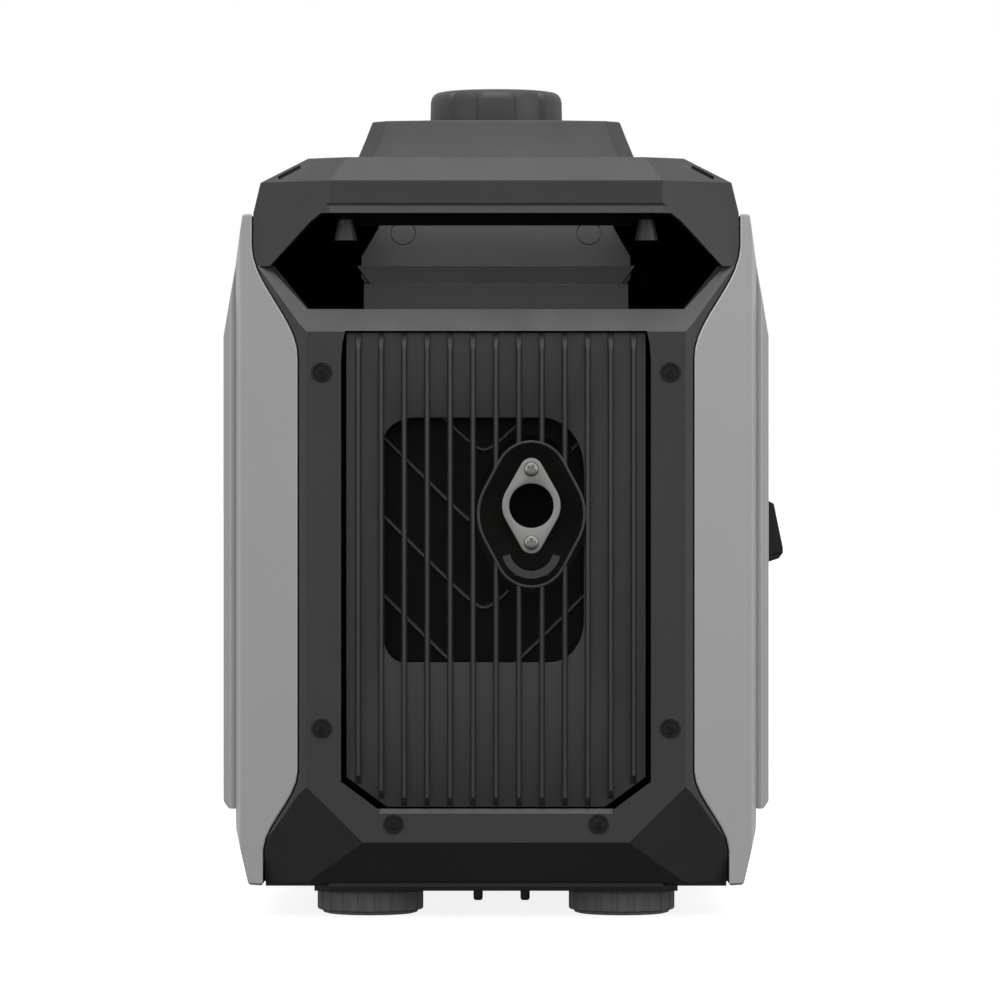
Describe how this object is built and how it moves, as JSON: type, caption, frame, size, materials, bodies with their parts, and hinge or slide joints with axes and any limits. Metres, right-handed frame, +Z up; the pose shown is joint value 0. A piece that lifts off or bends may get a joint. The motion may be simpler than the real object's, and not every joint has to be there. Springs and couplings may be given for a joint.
{
  "type": "portable generator",
  "caption": "Boxed portable generator with a carrying handle over each end, silver side covers, a finned exhaust end and a sunk control panel.",
  "frame": {"origin": "on the ground under the middle of the case, at the base of the feet", "axes": "+Z up, +Y out of the control panel, -Y out of the exhaust end"},
  "size_m": [0.3088, 0.5, 0.4505],
  "materials": {
    "black_plastic": "fine-textured moulded plastic",
    "dark_plastic": "smooth black plastic",
    "grille_plastic": "fine-textured moulded plastic",
    "silver_plastic": "silver-grey satin paint on plastic",
    "rubber": "moulded rubber",
    "black_steel": "black heat-proof paint on sheet steel",
    "zinc_steel": "bright zinc plate",
    "black_screw": "black oxide",
    "muffler_steel": "heat-tinted sheet steel",
    "cast_aluminium": "as-cast aluminium",
    "machined_steel": "turned steel",
    "cast_iron": "cast and machined iron",
    "copper_winding": "enamelled copper wire",
    "ceramic": "glazed ceramic",
    "yellow_plastic": "yellow moulded plastic",
    "red_plastic": "red moulded plastic",
    "green_plastic": "green moulded plastic",
    "white_plastic": "white moulded plastic",
    "brass": "plain brass"
  },
  "bodies": {
    "housing": {"base_pan": "dark_plastic", "rubber_feet": "rubber", "foot_screws": "zinc_steel", "drain_plugs": "black_screw", "rear_frame": "black_plastic", "rear_grille": "grille_plastic", "front_frame": "black_plastic", "frame_screws": "black_screw", "heat_shield": "black_steel", "muffler": "muffler_steel", "outlet_flange": "zinc_steel", "flange_screws": "zinc_steel", "outlet_deflector": "black_steel", "top_cover": "black_plastic", "rear_handle": "black_plastic", "front_handle": "black_plastic", "rear_grip_liner": "dark_plastic", "front_grip_liner": "dark_plastic", "grip_screws": "black_screw", "tank_collar": "black_plastic", "left_side_cover": "silver_plastic", "right_side_cover": "silver_plastic", "left_service_panel": "silver_plastic", "right_panel": "silver_plastic", "fuel_tank": "dark_plastic", "filler_neck": "dark_plastic", "cap_gasket": "rubber", "crankcase": "cast_aluminium", "crankcase_cover": "cast_aluminium", "cylinder_barrel": "cast_aluminium", "cylinder_head": "cast_aluminium", "spark_plug": "ceramic", "main_bearings": "machined_steel", "stator": "copper_winding", "recoil_housing": "dark_plastic", "recoil_spring": "machined_steel", "carburettor": "cast_aluminium", "air_filter_box": "dark_plastic", "inverter_module": "cast_aluminium", "engine_mounts": "rubber", "control_panel": "dark_plastic", "ac_sockets": "dark_plastic", "dc_socket": "dark_plastic", "parallel_jacks": "red_plastic", "ground_terminal": "brass"},
    "fuel_cap_body": {"fuel_cap": "black_plastic"},
    "vent_lever_body": {"vent_lever": "dark_plastic"},
    "crank_train": {"crankshaft": "machined_steel", "flywheel": "cast_iron", "cooling_fan": "dark_plastic"},
    "grip_body": {"starter_grip": "rubber"},
    "pulley_body": {"starter_pulley": "dark_plastic"},
    "knob_body": {"engine_knob": "black_plastic"},
    "rocker_body": {"eco_rocker": "red_plastic"},
    "reset_body": {"reset_button": "green_plastic"},
    "breaker_body": {"breaker_button": "white_plastic"},
    "upper_lid_body": {"socket_lid_upper": "black_plastic"},
    "lower_lid_body": {"socket_lid_lower": "black_plastic"},
    "oil_cap_body": {"oil_cap": "yellow_plastic"},
    "latch_body": {"service_latch": "dark_plastic"}
  },
  "joints": [
    {"name": "fuel_cap_turn", "type": "hinge", "parent": "housing", "child": "fuel_cap_body", "pos_m": [0, 0, 0.44], "axis": [0, 0, 1], "range_deg": [0, 450]},
    {"name": "vent_lever_turn", "type": "hinge", "parent": "fuel_cap_body", "child": "vent_lever_body", "pos_m": [0, 0, 0.448], "axis": [0, 0, 1], "range_deg": [0, 90]},
    {"name": "crank_spin", "type": "hinge", "parent": "housing", "child": "crank_train", "pos_m": [0, -0.02, 0.15], "axis": [1, 0, 0], "continuous": true},
    {"name": "grip_pull", "type": "slide", "parent": "housing", "child": "grip_body", "axis": [1, 0, 0], "range_m": [0, 0.45], "stiffness_N_per_m": 30, "springref_m": -0.1},
    {"name": "pulley_turn", "type": "hinge", "parent": "housing", "child": "pulley_body", "pos_m": [0.11, -0.02, 0.15], "axis": [1, 0, 0], "range_deg": [0, 806]},
    {"name": "knob_turn", "type": "hinge", "parent": "housing", "child": "knob_body", "pos_m": [0.048, 0.235, 0.256], "axis": [0, 1, 0], "range_deg": [0, 90]},
    {"name": "rocker_tilt", "type": "hinge", "parent": "housing", "child": "rocker_body", "pos_m": [-0.05, 0.233, 0.272], "axis": [1, 0, 0], "range_deg": [0, 20]},
    {"name": "reset_press", "type": "slide", "parent": "housing", "child": "reset_body", "axis": [0, -1, 0], "range_m": [0, 0.002], "stiffness_N_per_m": 600, "springref_m": -0.001},
    {"name": "breaker_press", "type": "slide", "parent": "housing", "child": "breaker_body", "axis": [0, -1, 0], "range_m": [0, 0.002], "stiffness_N_per_m": 600, "springref_m": -0.001},
    {"name": "upper_lid_lift", "type": "hinge", "parent": "housing", "child": "upper_lid_body", "pos_m": [-0.046, 0.24, 0.241], "axis": [1, 0, 0], "range_deg": [0, 110], "stiffness_Nm_per_rad": 0.01, "springref_deg": -28.65},
    {"name": "lower_lid_lift", "type": "hinge", "parent": "housing", "child": "lower_lid_body", "pos_m": [-0.046, 0.24, 0.183], "axis": [1, 0, 0], "range_deg": [0, 110], "stiffness_Nm_per_rad": 0.01, "springref_deg": -28.65},
    {"name": "oil_cap_turn", "type": "hinge", "parent": "housing", "child": "oil_cap_body", "pos_m": [-0.074, 0.02, 0.072], "axis": [-1, 0, 0], "range_deg": [0, 720]},
    {"name": "latch_turn", "type": "hinge", "parent": "housing", "child": "latch_body", "pos_m": [-0.14, 0.13, 0.19], "axis": [-1, 0, 0], "range_deg": [0, 90]}
  ],
  "couplings": [
    {"joint": "pulley_turn", "follows": "grip_pull", "rad_per_m": 31.25}
  ]
}
